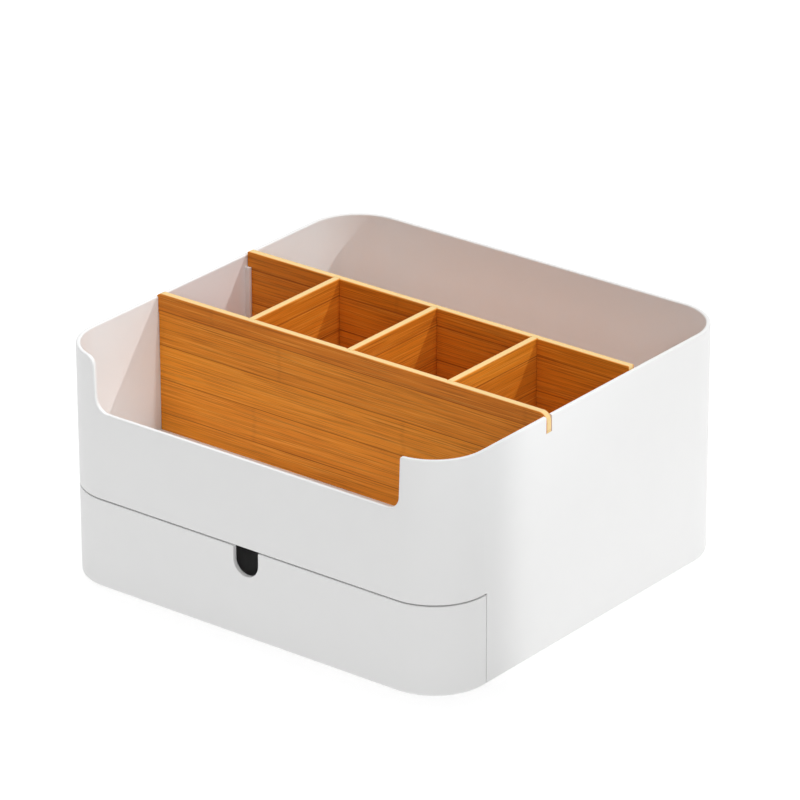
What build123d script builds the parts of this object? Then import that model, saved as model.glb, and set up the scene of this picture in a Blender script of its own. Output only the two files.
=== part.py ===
from build123d import *
import os

# A desk organizer: a white moulded housing with a pull-out drawer in its lower half and
# bamboo boards that part its upper half into compartments. Millimetres. X runs along the
# front, Y to the back and Z up. The origin is on the table, under the middle of the housing.

# Housing
width = 264.0               # outside, left to right
depth = 252.0               # outside, front to back
corner_radius = 32.0        # outside, each of the four upright corners
wall = 2.5                  # moulded walls
rim_height = 133.4          # rim above the underside of the walls
deck_thickness = 2.5        # floor of the compartments
underside_round = 2.0       # outer edge of the underside
rim_round = 0.9             # both edges of the rim
seam_round = 0.4            # edges along the drawer's seam

# Cutout in the front wall
cutout_bottom = 102.8       # its lower edge above the underside of the walls
cutout_inset_low = 30.8     # from the housing's side to the cutout's lower corners
cutout_inset_top = 29.7     # from the housing's side to the cutout at the rim
cutout_low_radius = 8.0     # the two lower corners
cutout_left_radius = 6.0    # upper left corner
cutout_right_radius = 1.6   # upper right corner

# Drawer
drawer_height = 51.6        # its front above the underside of the walls
drawer_return = 34.0        # how far its front wraps back along the sides
seam = 0.8                  # open seam between the drawer's front and the housing
tray_side_gap = 11.5        # from the housing's side wall to the tray behind the front
tray_wall = 2.2
tray_floor = 2.0
tray_top = 47.0             # tray walls above the underside of the walls
tray_rear_gap = 6.0         # from the tray to the housing's rear wall
tray_corner_radius = 14.0
notch_width = 16.6          # finger notch in the drawer's front
notch_depth = 15.6
notch_round = 0.5           # its outer edge
travel = 150.0              # how far the drawer pulls out

# Stops and guides of the drawer
stop_inset = 58.0           # from the tray's side to the stops
stop_width = 10.0
stop_thickness = 2.5
stop_drop = 5.0             # ribs that hang from the deck
stop_rise = 4.0             # lugs that stand on the tray's rear wall
stop_root = 2.0             # how far down a lug overlaps that wall
stop_gap = 0.2              # left between a stop and what meets it
runner_inset = 48.0         # from the tray's side to the rails that it slides on
runner_width = 3.0
runner_height = 0.8
runner_end_gap = 16.0       # from the rails' ends to the housing's front and rear walls
guide_height = 8.0          # upright ribs beside the tray
guide_thickness = 1.5
guide_start = 6.0           # from the seam at the side walls to the guides
guide_end_gap = 23.7        # from the guides to the housing's rear wall
slide_gap = 0.3             # running gap under the tray
side_gap = 0.5              # running gap beside the tray

# Base plate, its screws and feet
base_thickness = 3.0
base_gap = 0.4              # around the plate, which the drawer's front also passes
boss_diameter = 6.4
boss_inset = 1.8            # from a screw column to the side wall
screw_start = 15.2          # from the seam at the side walls to the first row of screws
screw_end = 34.0            # from the last row to the back, with one row halfway between
screw_shank = 2.9
screw_length = 10.0
screw_tip = 2.0             # length of its point
screw_point = 0.3           # radius of the point's end
screw_spare = 1.0           # depth of the hole past the screw's tip
screw_head = 5.6
screw_head_height = 1.5
screw_head_round = 0.5
screw_recess = 1.8          # depth of the pocket that hides the head
screw_clearance = 0.05      # around the shank in its column
plate_clearance = 0.1       # around the shank in the base plate
head_clearance = 0.3        # around the head in its pocket
cross_length = 3.2          # drive recess in the head
cross_width = 0.8
cross_depth = 0.9
foot_diameter = 14.0
foot_thickness = 2.0
foot_standout = 1.0         # how far a foot stands below the housing
foot_clearance = 0.1        # around the foot in its pocket
foot_round = 0.4
foot_inset_x = 30.0         # from the housing's side to the middle of a foot
foot_inset_y = 34.0         # from the housing's front or back to the middle of a foot

# Bamboo boards
board = 4.5                 # thickness of every board
board_standout = 1.8        # top edge above the rim
board_gap = 0.3             # between a board's end and the wall
board_round = 0.7           # its top edges
front_compartment = 82.05   # from the front wall to the front board
rear_compartment = 85.25    # from the rear board to the rear wall
end_compartment = 60.25     # from a side wall to the next short divider
ear_height = 11.0           # of the tongues that pass through the side walls
ear_corner_radius = 5.0
ear_gap = 0.15              # around a tongue in its slot
groove_depth = 1.2          # upright grooves that hold the short dividers
groove_gap = 0.15
channel_depth = 3.0         # ribs that hold the rear board's ends
channel_rib = 2.0
channel_below_rim = 7.0

# Places that follow from the sizes
underside = foot_standout
rim = underside + rim_height
base_top = underside + base_thickness
drawer_top = underside + drawer_height
deck_under = drawer_top + seam
deck_top = deck_under + deck_thickness
front = -depth / 2
drawer_back = front + drawer_return
housing_front = drawer_back + seam
inner_width = width - 2 * wall
inner_depth = depth - 2 * wall
inner_radius = corner_radius - wall
cutout_half_low = width / 2 - cutout_inset_low
cutout_half_top = width / 2 - cutout_inset_top
tray_width = inner_width - 2 * tray_side_gap
runner_top = base_top + runner_height
floor_under = runner_top + slide_gap
floor_top = floor_under + tray_floor
tray_wall_top = underside + tray_top
tray_back = depth / 2 - wall - tray_rear_gap
board_top = rim + board_standout
ear_bottom = board_top - ear_height
front_board_y = front + wall + front_compartment + board / 2
rear_board_y = depth / 2 - wall - rear_compartment - board / 2
divider_pitch = inner_width / 2 - end_compartment - board / 2
boss_offset = inner_width / 2 - boss_inset - boss_diameter / 2
first_row = housing_front + screw_start
last_row = depth / 2 - screw_end
screw_rows = (first_row, (first_row + last_row) / 2, last_row)
foot_offset_x = width / 2 - foot_inset_x
foot_offset_y = depth / 2 - foot_inset_y
stop_offset = tray_width / 2 - stop_inset
runner_offset = tray_width / 2 - runner_inset
stop_face = tray_back - stop_thickness - travel - stop_gap
past = 10.0                 # how far a cutting solid runs past what it cuts
bite = 0.3                  # how far a rib sinks into the wall that it grows from
near = 0.02                 # edges and corners this close to a place are taken to be at it


def slab(x_size, y_size, z_low, z_high, x=0.0, y=0.0):
    """A box between two heights, centred on x and y."""
    return Pos(x, y, (z_low + z_high) / 2) * Box(x_size, y_size, z_high - z_low)


def rounded_slab(x_size, y_size, radius, z_low, z_high):
    """A plate with rounded upright corners between two heights."""
    return Pos(0, 0, z_low) * extrude(RectangleRounded(x_size, y_size, radius), z_high - z_low)


def between(x_size, y_low, y_high, z_low, z_high, x=0.0):
    """A box between two depths and two heights."""
    return slab(x_size, y_high - y_low, z_low, z_high, x, (y_low + y_high) / 2)


def disc(diameter, z_low, z_high, x, y):
    """An upright cylinder between two heights."""
    return Pos(x, y, (z_low + z_high) / 2) * Cylinder(diameter / 2, z_high - z_low)


def edges_at(shape, height):
    """The edges of a shape that lie level at one height."""
    return shape.edges().filter_by_position(Axis.Z, height - near, height + near)


def both_sides(offset):
    return (-offset, offset)


def front_cutout():
    """The solid that opens the front wall, with rounded shoulders at the rim."""
    low = underside + cutout_bottom
    reach = cutout_half_top + cutout_left_radius + past
    outline = Polyline(
        (-reach, rim), (-cutout_half_top, rim), (-cutout_half_low, low),
        (cutout_half_low, low), (cutout_half_top, rim), (reach, rim),
        (reach, rim + past), (-reach, rim + past), close=True,
    )
    profile = make_face(outline)

    def corner(x, z):
        return [v for v in profile.vertices() if abs(v.X - x) < near and abs(v.Y - z) < near]

    profile = fillet(corner(-cutout_half_low, low) + corner(cutout_half_low, low), cutout_low_radius)
    profile = fillet(corner(-cutout_half_top, rim), cutout_left_radius)
    profile = fillet(corner(cutout_half_top, rim), cutout_right_radius)
    upright = Plane(origin=(0, front - past, 0), x_dir=(1, 0, 0), z_dir=(0, -1, 0))
    return extrude(upright * profile, -(past + corner_radius))


def housing():
    body = rounded_slab(width, depth, corner_radius, underside, rim)
    body -= rounded_slab(inner_width, inner_depth, inner_radius, underside - past, rim + past)
    body -= front_cutout()
    rims = [  # all but the short edges across the wall's thickness
        e for e in body.edges()
        if e.bounding_box().min.Z > underside + cutout_bottom - near and e.length > wall + near
    ]
    body = fillet(rims, rim_round)
    foot_face = body.faces().filter_by_position(Axis.Z, underside - near, underside + near)[0]
    body = fillet(foot_face.outer_wire().edges(), underside_round)

    # the bay that the drawer's front fills, its outer edges rounded
    body -= between(width + past, front - past, housing_front, underside - past, deck_under)
    bay_edges = edges_at(body, deck_under) + body.edges().filter_by_position(
        Axis.Y, housing_front - near, housing_front + near)
    inner = rounded_slab(inner_width + near, inner_depth + near, inner_radius, underside - past, deck_under + past)
    body = fillet([e for e in bay_edges if not inner.is_inside(e @ 0.5) and e.length > wall + near], seam_round)
    # the deck that floors the compartments
    body += rounded_slab(inner_width, inner_depth, inner_radius, deck_under, deck_top)

    # slots for the front board's tongues, open at the rim
    for x in both_sides(width / 2):
        body -= slab(4 * wall, board + 2 * ear_gap, ear_bottom - ear_gap, rim + past, x, front_board_y)

    # paired ribs that hold the rear board's ends
    for x in both_sides(inner_width / 2 - (channel_depth - bite) / 2):
        for side in (-1, 1):
            y = rear_board_y + side * (board / 2 + ear_gap + channel_rib / 2)
            body += slab(channel_depth + bite, channel_rib, deck_top - bite, rim - channel_below_rim, x, y)

    # columns for the base plate's screws
    web_length = inner_width / 2 + bite - boss_offset
    for y in screw_rows:
        for x in both_sides(boss_offset + web_length / 2):
            body += slab(web_length, boss_diameter, base_top, deck_under + bite, x, y)
        for x in both_sides(boss_offset):
            body += disc(boss_diameter, base_top, deck_under + bite, x, y)
            body -= disc(screw_shank + 2 * screw_clearance, base_top - past,
                         underside + screw_recess + screw_length + screw_spare, x, y)

    # ribs that stop the drawer when it is pulled out
    for x in both_sides(stop_offset):
        body += between(stop_width, stop_face - stop_thickness, stop_face, deck_under - stop_drop,
                        deck_under + bite, x)
    return body


def base_plate():
    radius = inner_radius - base_gap
    body = rounded_slab(inner_width - 2 * base_gap, inner_depth - 2 * base_gap, radius, underside, base_top)
    for x in both_sides(runner_offset):
        body += slab(runner_width, inner_depth - 2 * runner_end_gap, base_top, runner_top, x)
    for x in both_sides(tray_width / 2 + side_gap + guide_thickness / 2):
        body += between(guide_thickness, housing_front + guide_start, inner_depth / 2 - guide_end_gap,
                        base_top, base_top + guide_height, x)
    for x in both_sides(stop_offset):
        body += between(stop_width, tray_back + stop_gap, tray_back + stop_gap + stop_thickness,
                        base_top, base_top + guide_height, x)
    for x in both_sides(boss_offset):
        for y in screw_rows:
            body -= disc(screw_shank + 2 * plate_clearance, underside - past, base_top + past, x, y)
            body -= disc(screw_head + 2 * head_clearance, underside - past, underside + screw_recess, x, y)
    for x in both_sides(foot_offset_x):
        for y in both_sides(foot_offset_y):
            body -= disc(foot_diameter + 2 * foot_clearance, underside - past,
                         underside - foot_standout + foot_thickness, x, y)
    return body


def base_screw(x, y):
    """A self-tapping screw, head down in the base plate's pocket."""
    seat = underside + screw_recess
    crown = seat - screw_head_height
    head = disc(screw_head, crown, seat, x, y)
    head = fillet(edges_at(head, crown), screw_head_round)
    for length, breadth in ((cross_length, cross_width), (cross_width, cross_length)):
        head -= slab(length, breadth, crown - past, crown + cross_depth, x, y)
    shank = disc(screw_shank, seat, seat + screw_length - screw_tip, x, y)
    tip = Pos(x, y, seat + screw_length - screw_tip / 2) * Cone(screw_shank / 2, screw_point, screw_tip)
    return head + shank + tip


def foot(x, y):
    pad = disc(foot_diameter, 0, foot_thickness, x, y)
    return fillet(edges_at(pad, 0), foot_round)


def drawer():
    # the front, which wraps round both corners
    shell = rounded_slab(width, depth, corner_radius, underside, drawer_top)
    shell = fillet(edges_at(shell, underside), underside_round)
    shell = fillet(edges_at(shell, drawer_top), seam_round)
    shell -= rounded_slab(inner_width, inner_depth, inner_radius, underside - past, drawer_top + past)
    shell &= between(width + past, front - past, drawer_back, underside - past, drawer_top + past)
    web_front = drawer_back - wall
    floor_ahead = rounded_slab(inner_width, inner_depth, inner_radius, floor_under, floor_top)
    floor_ahead &= between(width, front, drawer_back, underside, drawer_top)
    web = between(inner_width, web_front, drawer_back, floor_under, drawer_top)
    body = shell + floor_ahead + web

    # the tray behind it
    tray_length = tray_back - web_front
    outline = RectangleRounded(tray_width, 2 * tray_length, tray_corner_radius)
    tray = Pos(0, web_front, floor_under) * extrude(outline, tray_wall_top - floor_under)
    tray &= between(width, web_front, depth, underside, rim)
    body += tray
    hollow = RectangleRounded(tray_width - 2 * tray_wall, 2 * (tray_length - tray_wall),
                              tray_corner_radius - tray_wall)
    hollow = Pos(0, web_front, floor_top) * extrude(hollow, rim)
    body -= hollow & between(width, web_front - wall, depth, floor_top, rim)

    # lugs that meet the housing's stops
    for x in both_sides(stop_offset):
        body += between(stop_width, tray_back - stop_thickness, tray_back, tray_wall_top - stop_root,
                        tray_wall_top + stop_rise, x)

    # finger notch, round at its bottom
    radius = notch_width / 2
    reach = wall + bite
    round_middle = drawer_top - notch_depth + radius
    notch = between(notch_width, front - reach, front + reach, round_middle, drawer_top + past)
    notch += Pos(0, front, round_middle) * Rot(90, 0, 0) * Cylinder(radius, 2 * reach)
    body -= notch
    rim_edges = [e for e in body.edges().filter_by_position(Axis.Y, front - near, front + near)
                 if abs(e.center().X) < notch_width / 2 + near and e.center().Z > drawer_top - notch_depth - near
                 and e.center().Z < drawer_top - seam_round - near]
    return fillet(rim_edges, notch_round)


def board_grooves(y, inward):
    """Upright grooves in a long board's inner face, one for each short divider."""
    face = y + inward * board / 2
    grooves = []
    for step in (-1, 0, 1):
        grooves.append(slab(board + 2 * groove_gap, 2 * groove_depth, deck_top - past, board_top + past,
                            step * divider_pitch, face))
    return grooves


def plank_front():
    """The long board whose two tongues lie in the slots of the side walls."""
    half = inner_width / 2 - board_gap
    profile = Pos(0, (deck_top + board_top) / 2) * Rectangle(2 * half, board_top - deck_top)
    profile += Pos(0, board_top - ear_height / 2) * Rectangle(width, ear_height)
    corners = [v for v in profile.vertices() if abs(v.Y - board_top) < near]
    profile = fillet(corners, ear_corner_radius)
    upright = Plane(origin=(0, front_board_y + board / 2, 0), x_dir=(1, 0, 0), z_dir=(0, -1, 0))
    body = extrude(upright * profile, board)
    body = fillet([e for e in body.edges() if e.bounding_box().min.Z > board_top - ear_corner_radius - near
                   and e.bounding_box().size.Y < near], board_round)
    for groove in board_grooves(front_board_y, 1):
        body -= groove
    return body


def plank_rear():
    """The long board behind, whose ends stand between the ribs of the side walls."""
    half = inner_width / 2 - board_gap
    body = slab(2 * half, board, deck_top, board_top, 0, rear_board_y)
    body = fillet(edges_at(body, board_top), board_round)
    for groove in board_grooves(rear_board_y, -1):
        body -= groove
    return body


def divider(step):
    """A short board between the two long ones."""
    reach = groove_depth - groove_gap
    low = front_board_y + board / 2 - reach
    high = rear_board_y - board / 2 + reach
    body = between(board, low, high, deck_top, board_top, step * divider_pitch)
    return fillet([e for e in edges_at(body, board_top) if e.length > board + near], board_round)


nodes = {
    "housing": housing(),
    "base_plate": base_plate(),
    "base_screws": Compound([base_screw(x, y) for x in both_sides(boss_offset) for y in screw_rows]),
    "foot_front_left": foot(-foot_offset_x, -foot_offset_y),
    "foot_front_right": foot(foot_offset_x, -foot_offset_y),
    "foot_rear_left": foot(-foot_offset_x, foot_offset_y),
    "foot_rear_right": foot(foot_offset_x, foot_offset_y),
    "drawer": drawer(),
    "plank_front": plank_front(),
    "plank_rear": plank_rear(),
    "divider_left": divider(-1),
    "divider_middle": divider(0),
    "divider_right": divider(1),
}

os.makedirs("parts", exist_ok=True)
for name, shape in nodes.items():
    export_step(shape, f"parts/{name}.step")
    size = shape.bounding_box().size
    print(f"{name}: {len(shape.solids())} solid(s), {size.X:.1f} x {size.Y:.1f} x {size.Z:.1f} mm")
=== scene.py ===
# %% [markdown]
# # A white desk organizer with a drawer and bamboo boards
# The real object is three white mouldings, a housing, the drawer in it and a base plate beneath,
# and five oiled bamboo boards that part the upper half into compartments. The exact solids come
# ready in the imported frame, so this lesson is about everything that makes them look real: the
# camera, the studio light, and a finish for each material, built from nodes.

# %% Load the solids
import math

import bmesh
import bpy
from mathutils import Matrix, Vector


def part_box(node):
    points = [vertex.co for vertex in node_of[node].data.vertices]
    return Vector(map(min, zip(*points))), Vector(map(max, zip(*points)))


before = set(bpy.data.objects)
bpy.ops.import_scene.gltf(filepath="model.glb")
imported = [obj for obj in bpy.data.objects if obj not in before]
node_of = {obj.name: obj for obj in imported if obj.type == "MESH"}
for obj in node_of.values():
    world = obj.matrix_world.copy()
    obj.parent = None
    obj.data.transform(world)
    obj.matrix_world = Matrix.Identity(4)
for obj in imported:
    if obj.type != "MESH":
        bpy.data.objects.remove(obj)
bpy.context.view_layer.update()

MM = 0.001

# %% [markdown]
# ## The camera
# The picture was taken with a long lens from the right of the front and well above it. A camera
# can be placed by eye and turned until it looks right, but a product picture shows its verticals
# and edges so clearly that it is better to give it an aim, a distance and three angles. They are
# kept as plain values, so the view can be changed one thing at a time.

# %% Camera
SENSOR = 36.0               # mm, Blender's usual width
LENS = 246.43               # mm
NEAREST, FARTHEST = 0.1, 100.0  # m, what the camera still shows
AIM = Vector((3.65, 0.0, 94.82)) * MM
DISTANCE = 2.9244           # m from the aim
AZIMUTH, ELEVATION, ROLL = (math.radians(a) for a in (38.251, 23.893, -0.177))

camera_data = bpy.data.cameras.new("camera")
camera_data.sensor_width, camera_data.lens = SENSOR, LENS
camera_data.clip_start, camera_data.clip_end = NEAREST, FARTHEST
camera = bpy.data.objects.new("camera", camera_data)
bpy.context.scene.collection.objects.link(camera)
turn = (Matrix.Rotation(AZIMUTH, 4, "Z") @ Matrix.Rotation(math.pi / 2 - ELEVATION, 4, "X")
        @ Matrix.Rotation(ROLL, 4, "Z"))
camera.matrix_world = Matrix.Translation(AIM + turn @ Vector((0, 0, DISTANCE))) @ turn
bpy.context.scene.camera = camera
bpy.context.scene.view_settings.view_transform = "Standard"
print("camera stands at", [round(x, 3) for x in camera.matrix_world.translation])

# %% [markdown]
# ## Sockets that do arithmetic
# A finish is a small program: this mask times that noise, one minus the result. Written as nodes
# by hand it takes a line for each link. Here a socket is wrapped in a class that knows plus,
# minus, times and divided by, so the program reads as it is thought.


# %% A wrapped socket
class Wire:
    """An output socket that can be used in a sum."""

    def __init__(self, tree, socket):
        self.tree, self.socket = tree, socket

    def apply(self, operation, *others):
        """A Math node on this value and any others, in that order."""
        return self.tree.maths(operation, self, *others)

    def __add__(self, other):
        return self.apply("ADD", other)

    def __sub__(self, other):
        return self.apply("SUBTRACT", other)

    def __rsub__(self, other):
        return self.tree.maths("SUBTRACT", other, self)

    def __mul__(self, other):
        return self.apply("MULTIPLY", other)

    def __truediv__(self, other):
        return self.apply("DIVIDE", other)

    __radd__, __rmul__ = __add__, __mul__


print("a socket can be added, subtracted, multiplied and divided")

# %% [markdown]
# ## A tree of nodes
# Whatever a node is, adding it takes the same four steps: make it, set it up, feed its sockets,
# and take one of its outputs. One method does all four. Constants go straight on the shader's own
# sockets, and only what changes over the surface is linked to them.


# %% Adding nodes
class Tree:
    """A new material whose nodes are added one by one, around the usual shader."""

    def __init__(self, name, **constants):
        self.material = bpy.data.materials.new(name)
        self.material.use_nodes = True
        self.nodes, self.links = self.material.node_tree.nodes, self.material.node_tree.links
        self.shader = self.nodes["Principled BSDF"]
        for socket, value in constants.items():
            self.into(socket.replace("_", " "), value)

    def node(self, kind, settings=None, inputs=None, output=0):
        """Adds a node, sets it up, feeds its sockets and hands back one of its outputs."""
        made = self.nodes.new(kind)
        for name, value in (settings or {}).items():
            setattr(made, name, value)
        for name, value in (inputs or {}).items():
            self.feed(made.inputs[name], value)
        return Wire(self, made.outputs[output])

    def maths(self, operation, *values):
        return self.node("ShaderNodeMath", {"operation": operation}, dict(enumerate(values)))

    def feed(self, socket, value):
        """Links a wire to a socket, or sets the socket to a plain value."""
        if isinstance(value, Wire):
            self.links.new(value.socket, socket)
        else:
            socket.default_value = value

    def into(self, name, value):
        """Feeds one of the shader's own sockets."""
        self.feed(self.shader.inputs[name], value)


print("a tree can hold any node")

# %% [markdown]
# ## What every finish needs
# Plastic, bamboo, rubber and zinc share a few moves: a place on the piece to hang a pattern on, a
# noise that can be stretched, a soft step that turns a value into a mask, a mix of two colours,
# and a relief. They read Object coordinates, so a pattern stays put when the piece moves.


# %% A finish
class Finish(Tree):
    """A material, with the steps that the finishes of this object share."""

    def blend(self, factor, a, b):
        """A colour between two others."""
        a, b = [(*c, 1.0) if isinstance(c, tuple) else c for c in (a, b)]
        return self.node("ShaderNodeMix", {"data_type": "RGBA"}, {0: factor, 6: a, 7: b}, output=2)

    def band(self, value, low, high):
        """0 below low, 1 above high, and a smooth rise between."""
        return self.node("ShaderNodeMapRange", {"interpolation_type": "SMOOTHSTEP"},
                         {"Value": value, "From Min": low, "From Max": high})

    def place(self, offset=(0, 0, 0), turn=0.0):
        """Where a point lies on the piece, turned about the upright axis and then moved."""
        where = self.node("ShaderNodeTexCoord", output="Object")
        return self.node("ShaderNodeMapping",
                         inputs={"Vector": where, "Location": offset, "Rotation": (0, 0, turn)})

    def split(self, place):
        """The three numbers of a place."""
        first = self.node("ShaderNodeSeparateXYZ", inputs={"Vector": place})
        return [Wire(self, socket) for socket in first.socket.node.outputs]

    def noise(self, place, per_metre, detail=2.0, roughness=0.5):
        """Cloudy noise; per_metre is how fine it is along each axis."""
        scaled = self.node("ShaderNodeVectorMath", {"operation": "MULTIPLY"}, {0: place, 1: per_metre})
        return self.node("ShaderNodeTexNoise", {"noise_dimensions": "3D"},
                         {"Vector": scaled, "Scale": 1.0, "Detail": detail, "Roughness": roughness})

    def chance(self, seed):
        """A number from 0 to 1 that stays the same wherever the seed does."""
        return self.node("ShaderNodeTexWhiteNoise", {"noise_dimensions": "1D"}, {"W": seed})

    def relief(self, height, depth):
        """Feeds the normal from a height that runs from 0 to 1, depth metres high."""
        self.into("Normal", self.node("ShaderNodeBump",
                                      inputs={"Strength": 1.0, "Distance": depth, "Height": height}))


print("a finish is ready to be filled in")

# %% [markdown]
# ## The studio
# A white object on white needs light that differs from side to side, or its faces run together.
# A sky alone would light every wall alike, and one small lamp would cut hard shadows. So a wide
# lamp hangs overhead, a little to the left and behind, which makes the rims the brightest and
# leaves the front corner some shade. A weak softbox near the camera rounds that corner, and an
# even grey sky fills the rest.

# %% Sky and soft lamps
SKY = 0.30
world = bpy.data.worlds.new("studio")
world.use_nodes = True
background = world.node_tree.nodes["Background"]
background.inputs["Color"].default_value = (1.0, 1.0, 1.0, 1.0)
background.inputs["Strength"].default_value = SKY
bpy.context.scene.world = world


def lamp(kind, name, place, aim, watts, **settings):
    """A lamp at a place, turned to its aim, and white unless its settings say otherwise."""
    data = bpy.data.lights.new(name, kind)
    data.energy = watts
    for setting, value in settings.items():
        setattr(data, setting, value)
    made = bpy.data.objects.new(name, data)
    bpy.context.scene.collection.objects.link(made)
    look = (Vector(aim) - Vector(place)).to_track_quat("-Z", "Y").to_matrix().to_4x4()
    made.matrix_world = Matrix.Translation(Vector(place)) @ look


lamp("AREA", "overhead", place=(-0.3, 0.28, 2.6), aim=(0, 0, 0), watts=54.0, size=2.6)
lamp("AREA", "fill", place=(1.7, -2.25, 1.2), aim=(0, 0, 0.08), watts=9.0, size=0.6)
print("soft lamps:", [light.name for light in bpy.data.lights])

# %% [markdown]
# ## Two beams
# A spot from the right and a little behind lights the side wall. A cone aimed straight at that
# wall would end on it in a slanting edge, so this one is aimed above the wall and behind it. Its
# front edge then falls upright, just behind the rounded corner, and shows the form there. A
# second spot is narrow, and slightly cool against the warm light that the bamboo throws back. It
# passes over the right wall and lights the inside of the left one.

# %% Beams
lamp("SPOT", "side_beam", place=(2.6, 1.3, 1.9), aim=(0.132, 0.524, 0.26), watts=116.0,
     spot_size=math.radians(20.0), spot_blend=0.08, shadow_soft_size=0.014)
lamp("SPOT", "wall_beam", place=(2.3, 0.1, 1.9), aim=(-0.13, -0.085, 0.105), watts=70.0,
     spot_size=math.radians(6.4), spot_blend=0.5, shadow_soft_size=0.06, color=(0.90, 0.96, 1.0))
print("lamps:", len(bpy.data.lights))

# %% [markdown]
# ## The floor
# Studios use a backdrop that curves up behind the object. This view is from above, so one flat
# face fills the picture as well. It gives off light of its own, as a lit studio table does, so
# that it stays white and the shadows on it faint, and its grey throws little of the beam back on
# the walls. It lies a hair below the feet, since two faces at one height spoil each other.

# %% Floor
FLOOR_REACH = 20.0          # m from its middle to its sides
FLOOR_DROP = 0.2 * MM       # below the feet
FLOOR_GREY, FLOOR_GLOW = 0.50, 0.62

floor_finish = Finish("floor", Base_Color=(FLOOR_GREY, FLOOR_GREY, FLOOR_GREY, 1), Roughness=0.9,
                      Emission_Color=(1, 1, 1, 1), Emission_Strength=FLOOR_GLOW)
mesh = bpy.data.meshes.new("floor")
work = bmesh.new()
bmesh.ops.create_grid(work, x_segments=1, y_segments=1, size=FLOOR_REACH)
bmesh.ops.translate(work, verts=work.verts, vec=(0, 0, -FLOOR_DROP))
work.to_mesh(mesh)
work.free()
mesh.materials.append(floor_finish.material)
floor = bpy.data.objects.new("floor", mesh)
bpy.context.scene.collection.objects.link(floor)
print("floor spans", [round(x, 1) for x in floor.dimensions[:2]], "m")

# %% [markdown]
# ## White plastic
# The mouldings are satin ABS. Up close the surface isn't smooth: the mould is lightly blasted,
# which breaks highlights up, and the plastic swims a little in thickness behind ribs and corners.
# A picture of such a surface would have to be unwrapped on each moulding and would show seams,
# while noise in the piece's own space has none. Two noises make a relief of a tenth of a
# millimetre at most, and a third varies the colour and the gloss as handling does. Each moulding
# takes its pattern from another place.

# %% Plastic finish
BLAST, SWIM, HANDLING = 2600, 14, 45  # waves per metre
CLEAN_WHITE, HANDLED_WHITE = (0.875, 0.875, 0.87), (0.855, 0.855, 0.852)
PLASTIC_RELIEF = 0.1 * MM
MOULDING_STEP = (0.37, 0.21, 0)  # m from the pattern of one moulding to that of the next


def white_plastic(name, offset):
    finish = Finish(name, IOR=1.5)
    place = finish.place(offset)
    blasted = finish.noise(place, (BLAST, BLAST, BLAST), detail=1.0)
    swim = finish.noise(place, (SWIM, SWIM, SWIM), detail=1.0)
    handled = finish.noise(place, (HANDLING, HANDLING, HANDLING), detail=4.0, roughness=0.6)
    finish.into("Roughness", 0.34 + handled * 0.10 + blasted * 0.05)
    finish.into("Base Color", finish.blend(handled, CLEAN_WHITE, HANDLED_WHITE))
    finish.relief(blasted * 0.06 + swim * 0.94, PLASTIC_RELIEF)
    return finish.material


def dress(node, material):
    """Gives a solid its finish."""
    for slot in node_of[node].material_slots:
        slot.material = material
    print(node, "wears", material.name)


for number, node in enumerate(("housing", "drawer", "base_plate")):
    dress(node, white_plastic(f"plastic_{node}", [number * step for step in MOULDING_STEP]))

# %% [markdown]
# ## Bamboo
# The boards are pressed from strips laid edge to edge, so each face shows long level bands that
# differ a little in colour, thin dark glue lines between them, fibres that run the board's length,
# and here and there the darker knuckle where the cane had a joint. A picture of bamboo could be
# wrapped round each board, but its bands would break at every corner. Here it is a solid texture
# in the board's own space, so what is stretched along the board reads as grain on the faces and
# as pinpricks on the end grain, as in the real thing.

# %% Sizes and colours of the bamboo
BOARD_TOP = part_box("plank_front")[1].z
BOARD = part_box("plank_rear")[1].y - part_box("plank_rear")[0].y  # how thick a board is
LIGHT_CANE = (0.88, 0.300, 0.020)
DEEP_CANE = (0.70, 0.205, 0.012)
DARK_FIBRE = (0.27, 0.060, 0.004)
PALE_FIBRE = (0.97, 0.42, 0.060)
# cut edges, ends and grooves: paler cane, and partly painted light, the brightness of the lit tops and
# the sheen of their rounded edges
EDGE_CANE_AND_LIGHT = (0.92, 0.71, 0.33)
print(f"boards are {BOARD / MM:.2f} mm thick and their tops {BOARD_TOP / MM:.2f} mm above the table")

# %% [markdown]
# ### Strips and glue lines
# The depth below the first glue line, divided by the height of a strip, tells two things at once.
# Its whole part counts the strips, and the rest says how far across its strip a point lies. The
# first gives each strip its own tint, and the second draws the line where two strips meet.

# %% Strips
STRIP = 20 * MM             # height of one pressed strip
FIRST_JOINT = 9.8 * MM      # from a board's top edge to the first glue line
GLUE_LINE = (0.12, 0.45)    # mm from its middle where it is still full, and where it is gone


def strips(finish, up):
    """Which strip a point is in, and a mask of the glue lines."""
    count = (BOARD_TOP - FIRST_JOINT - up) / STRIP
    number = count.apply("FLOOR")
    across = count - number
    mm_from_joint = across.apply("MINIMUM", 1 - across) * (STRIP / MM)
    return number, 1 - finish.band(mm_from_joint, *GLUE_LINE)


print(f"a glue line comes every {STRIP / MM:.0f} mm, the first {FIRST_JOINT / MM:.1f} mm down")

# %% [markdown]
# ### Knuckles, and pale edges with painted light
# A knuckle comes round once in a set length of cane, at another place in each strip, and wavers
# with the streaks. The edges, ends and grooves were cut and sanded after pressing, and they are
# painted much paler than the faces, partly as cut cane is and partly as painted light: the light
# that falls on the tops and the sheen along their rounded edges. They could be picked face by face,
# but they give themselves away: a point that is seen and yet lies inside the board's thickness is
# on one of them.

# %% Knuckles and edges
KNUCKLE_SPACING = 210 * MM  # along a strip
KNUCKLE_LINE = (0.002, 0.010)  # parts of that from its middle, as for a glue line
ALL_EDGE, ALL_FACE = 0.9 * MM, 0.1 * MM  # in from a face


def knuckles(finish, along, shift, waver):
    """A mask of the rings round the cane."""
    turns = along / KNUCKLE_SPACING + shift + waver
    from_ring = (turns - turns.apply("FLOOR") - 0.5).apply("ABSOLUTE")
    return 1 - finish.band(from_ring, *KNUCKLE_LINE)


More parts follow.
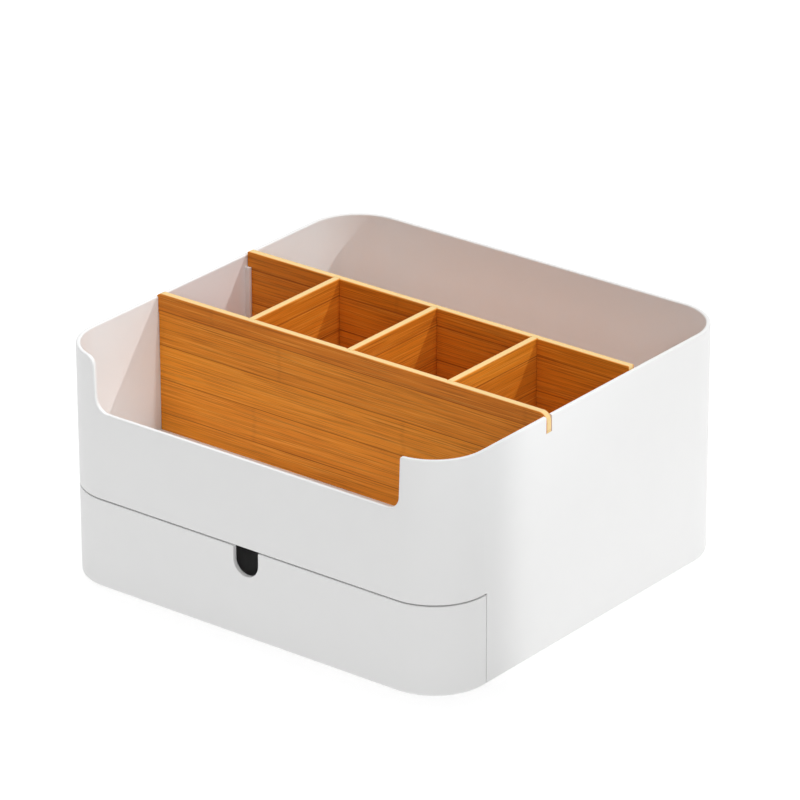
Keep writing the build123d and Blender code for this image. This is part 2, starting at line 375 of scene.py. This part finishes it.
def sanded_and_lit(finish, through):
    """A mask of the edges, ends and grooves, cut and sanded after pressing and painted paler, partly
    with painted light.
    """
    return 1 - finish.band(through.apply("ABSOLUTE"), BOARD / 2 - ALL_EDGE, BOARD / 2 - ALL_FACE)


print(f"knuckles are {KNUCKLE_SPACING / MM:.0f} mm apart")

# %% [markdown]
# ### The whole board
# Four noises, each stretched along the board, make cloudy colour, dark streaks, and fine fibres
# darker and paler than the rest. The colours are laid on like stains, one over the other: the
# tone of the strip, pale fibres, dark streaks, fine dark fibres, the pale edges, which carry
# painted light from the lit tops and rounded edges as well, and last the glue lines and knuckles,
# which fade on the edges. Oil leaves a thin shine on the sanded edges, and the glue lines stay
# duller than the cane.

# %% Bamboo finish
# waves per metre along the board, through it and up
FINE, PALE, STREAK, CLOUD = (24, 2500, 2500), (18, 1700, 1700), (12, 620, 620), (6, 25, 40)
PALE_SHIFT, SHIFT_SEED = 0.7, 37.5  # keep two noises, and two chances, from being the same
BAMBOO_RELIEF = 0.08 * MM


def bamboo(name, centre, offset, turn):
    finish = Finish(name, IOR=1.5, Specular_IOR_Level=0.2, Coat_Roughness=0.2)
    own = Matrix.Rotation(turn, 3, "Z") @ Vector((centre.x, centre.y, 0))
    along, through, up = finish.split(finish.place((-own.x, -own.y, 0), turn))
    place = finish.place(offset, turn)
    elsewhere = finish.place((offset[0] + PALE_SHIFT, offset[1], 0), turn)

    fine = finish.noise(place, FINE, detail=3.0, roughness=0.6)
    pale = finish.noise(elsewhere, PALE, detail=3.0, roughness=0.6)
    streak = finish.noise(place, STREAK, detail=3.0, roughness=0.55)
    cloud = finish.noise(place, CLOUD, detail=2.0)

    edge = sanded_and_lit(finish, through)
    number, joint = strips(finish, up)
    seed = number + offset[0] * 100
    knuckle = knuckles(finish, along, finish.chance(seed + SHIFT_SEED), streak * 0.03)

    tone = finish.band(cloud * 0.45 + finish.chance(seed) * 0.55, 0.22, 0.78)
    colour = finish.blend(tone, DEEP_CANE, LIGHT_CANE)
    # where each stain lies and how strong it is, and its colour
    for amount, stain in (
        (finish.band(pale, 0.50, 0.66) * 0.55, PALE_FIBRE),
        (finish.band(streak, 0.54, 0.72) * 0.28, DARK_FIBRE),
        (finish.band(fine, 0.45, 0.68) * 0.52, DARK_FIBRE),
        # the edges, paler as cut cane and partly as painted light on the lit tops and rounded edges
        (edge * 0.85, EDGE_CANE_AND_LIGHT),
        ((joint * 0.62 + knuckle * 0.10) * (1 - edge * 0.7), DARK_FIBRE),
    ):
        colour = finish.blend(amount, colour, stain)
    finish.into("Base Color", colour)
    finish.into("Roughness", 0.40 + fine * 0.18 + joint * 0.15)
    finish.into("Coat Weight", edge * 0.5)
    furrows = finish.band(fine, 0.45, 0.8)
    finish.relief(1 - joint * 0.6 - furrows * 0.25 - knuckle * 0.1, BAMBOO_RELIEF)
    return finish.material


print("dark streaks are about", round(1000 / STREAK[0]), "mm long")

# %% Boards
BOARD_TURNS = {             # degrees that bring a board's length to lie along x
    "plank_front": 0,
    "plank_rear": 0,
    "divider_left": 90,
    "divider_middle": 90,
    "divider_right": 90,
}
FIRST_BOARD, BOARD_STEP = 0.05, (0.31, 0.17)  # m, where a board's pattern is taken from

for number, (node, degrees) in enumerate(BOARD_TURNS.items()):
    low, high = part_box(node)
    offset = (number * BOARD_STEP[0] + FIRST_BOARD, number * BOARD_STEP[1], 0.0)
    dress(node, bamboo(f"bamboo_{node}", (low + high) / 2, offset, math.radians(degrees)))

# %% [markdown]
# ## Feet and screws
# These are seen only from beneath. The pads are matt dark grey rubber with a faint moulded grain,
# and the screws are zinc plated, a metal with a brushed, slightly blue sheen. A flat colour would
# do from afar, but a little grain keeps both from looking painted.

# %% Rubber and zinc
RUBBER_GREY = (0.10, 0.10, 0.105, 1)
DULL_ZINC, BRIGHT_ZINC = (0.55, 0.57, 0.60), (0.70, 0.71, 0.72)
RUBBER_GRAIN, ZINC_GRAIN = 1800, 900  # waves per metre
RUBBER_RELIEF, ZINC_RELIEF = 0.05 * MM, 0.02 * MM


def rubber():
    finish = Finish("rubber", Base_Color=RUBBER_GREY)
    grain = finish.noise(finish.place(), (RUBBER_GRAIN, RUBBER_GRAIN, RUBBER_GRAIN))
    finish.into("Roughness", 0.7 + grain * 0.15)
    finish.relief(grain, RUBBER_RELIEF)
    return finish.material


def zinc():
    finish = Finish("zinc", Metallic=1.0)
    grain = finish.noise(finish.place(), (ZINC_GRAIN, ZINC_GRAIN, ZINC_GRAIN), detail=3.0)
    finish.into("Base Color", finish.blend(grain, DULL_ZINC, BRIGHT_ZINC))
    finish.into("Roughness", 0.28 + grain * 0.2)
    finish.relief(grain, ZINC_RELIEF)
    return finish.material


pad_finish = rubber()
for node in ("foot_front_left", "foot_front_right", "foot_rear_left", "foot_rear_right"):
    dress(node, pad_finish)
dress("base_screws", zinc())

# %% [markdown]
# ## The end
# A finish changes how the object looks but not how large it is.

# %% End
print("the scene is set up")
